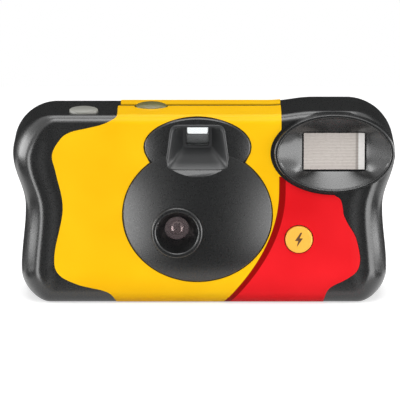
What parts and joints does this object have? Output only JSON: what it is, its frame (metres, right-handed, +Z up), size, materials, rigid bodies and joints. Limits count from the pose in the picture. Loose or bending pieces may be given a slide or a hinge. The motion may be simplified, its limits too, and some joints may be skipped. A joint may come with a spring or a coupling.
{
  "type": "disposable film camera",
  "caption": "Single-use 35 mm camera with waisted grips, a raised lens disc with a finder hood, a flash dish, printed labels and a working film winder, shutter and doors.",
  "frame": {"origin": "under the middle of the base, on the surface it stands on", "axes": "+Z up, the lens faces -Y, +X towards the flash"},
  "size_m": [0.118, 0.0345, 0.0605],
  "materials": {
    "black_plastic": "satin moulded black plastic",
    "dark_plastic": "matt moulded plastic",
    "label": "printed self-adhesive label",
    "clear_plastic": "polished clear plastic",
    "amber_plastic": "tinted clear plastic",
    "frosted_plastic": "ribbed frosted plastic",
    "bright_metal": "polished sheet",
    "tube_glass": "clear glass tube",
    "board": "lacquered board",
    "sleeve": "shrink sleeve",
    "winding": "varnished winding and tape",
    "contact_brass": "bent strip",
    "spring_steel": "bright strip and wire",
    "battery_case": "printed sleeve over a metal can",
    "cartridge_metal": "printed tinplate",
    "film": "coated film base",
    "grey_plastic": "satin moulded plastic",
    "white_plastic": "moulded plastic with printed numbers",
    "blade_metal": "blackened thin sheet",
    "orange_plastic": "moulded plastic"
  },
  "bodies": {
    "camera_body": {"front_cover": "black_plastic", "rear_cover": "black_plastic", "front_label": "label", "rear_label": "label", "chassis": "dark_plastic", "top_plate": "dark_plastic", "taking_lens": "clear_plastic", "lens_holder": "dark_plastic", "finder_front_lens": "clear_plastic", "finder_rear_lens": "clear_plastic", "counter_window": "clear_plastic", "light_pipe": "amber_plastic", "flash_window": "frosted_plastic", "flash_reflector": "bright_metal", "flash_tube": "tube_glass", "circuit_board": "board", "flash_capacitor": "sleeve", "flash_transformer": "winding", "trigger_coil": "winding", "flash_switch": "contact_brass", "sync_contact": "contact_brass", "battery": "battery_case", "battery_contact_positive": "spring_steel", "battery_contact_negative": "spring_steel", "cartridge_shell": "cartridge_metal", "cartridge_caps": "spring_steel", "film_strip": "film", "shutter_plate": "spring_steel", "shutter_spring": "spring_steel", "hammer_spring": "spring_steel"},
    "winder": {"thumbwheel": "black_plastic", "cartridge_spool": "dark_plastic"},
    "sprocket": {"sprocket": "grey_plastic"},
    "supply": {"supply_spool": "dark_plastic", "film_roll": "film"},
    "counter_dial": {"counter_dial": "white_plastic"},
    "ratchet_pawl": {"ratchet_pawl": "grey_plastic"},
    "shutter_blade": {"shutter_blade": "blade_metal"},
    "hammer_lever": {"hammer_lever": "grey_plastic"},
    "shutter_button": {"shutter_button": "grey_plastic"},
    "release_lever": {"release_lever": "grey_plastic"},
    "flash_button": {"flash_button": "orange_plastic"},
    "film_door": {"film_door": "black_plastic"},
    "battery_door": {"battery_door": "black_plastic"}
  },
  "joints": [
    {"name": "thumbwheel_turn", "type": "hinge", "parent": "camera_body", "child": "winder", "pos_m": [-0.0385, 0.002, 0.048], "axis": [0, 0, 1], "continuous": true},
    {"name": "sprocket_turn", "type": "hinge", "parent": "camera_body", "child": "sprocket", "pos_m": [-0.019, 0.00515, 0.038], "axis": [0, 0, 1], "continuous": true},
    {"name": "supply_turn", "type": "hinge", "parent": "camera_body", "child": "supply", "pos_m": [0.038, 0.0029, 0.0235], "axis": [0, 0, 1], "continuous": true},
    {"name": "dial_turn", "type": "hinge", "parent": "camera_body", "child": "counter_dial", "pos_m": [-0.0225, 0.0015, 0.0528], "axis": [0, 0, 1], "continuous": true},
    {"name": "pawl_swing", "type": "hinge", "parent": "camera_body", "child": "ratchet_pawl", "pos_m": [-0.0205, -0.007, 0.048], "axis": [0, 0, 1], "range_deg": [0, 10], "stiffness_Nm_per_rad": 0.0004},
    {"name": "blade_swing", "type": "hinge", "parent": "camera_body", "child": "shutter_blade", "pos_m": [0.001, -0.00705, 0.0232], "axis": [0, 1, 0], "range_deg": [0, 35], "stiffness_Nm_per_rad": 0.0005},
    {"name": "hammer_swing", "type": "hinge", "parent": "camera_body", "child": "hammer_lever", "pos_m": [0.0065, -0.0085, 0.0355], "axis": [0, -1, 0], "range_deg": [0, 25], "stiffness_Nm_per_rad": 0.001},
    {"name": "shutter_press", "type": "slide", "parent": "camera_body", "child": "shutter_button", "axis": [0, 0, -1], "range_m": [0, 0.0015], "stiffness_N_per_m": 1200},
    {"name": "release_tip", "type": "hinge", "parent": "camera_body", "child": "release_lever", "pos_m": [-0.027, -0.0093, 0.0534], "axis": [0, -1, 0], "range_deg": [0, 8.6]},
    {"name": "flash_press", "type": "slide", "parent": "camera_body", "child": "flash_button", "axis": [0, 1, 0], "range_m": [0, 0.001], "stiffness_N_per_m": 900},
    {"name": "film_door_swing", "type": "hinge", "parent": "camera_body", "child": "film_door", "pos_m": [-0.0257, 0.0025, 0.00075], "axis": [0, -1, 0], "range_deg": [0, 100]},
    {"name": "battery_door_swing", "type": "hinge", "parent": "camera_body", "child": "battery_door", "pos_m": [0.00015, 0.0015, 0.00075], "axis": [1, 0, 0], "range_deg": [0, 100]}
  ],
  "couplings": [
    {"joint": "sprocket_turn", "follows": "thumbwheel_turn", "ratio": 0.942},
    {"joint": "supply_turn", "follows": "thumbwheel_turn", "ratio": 0.687},
    {"joint": "dial_turn", "follows": "thumbwheel_turn", "ratio": -0.0314},
    {"joint": "release_tip", "follows": "shutter_press", "rad_per_m": 100}
  ]
}
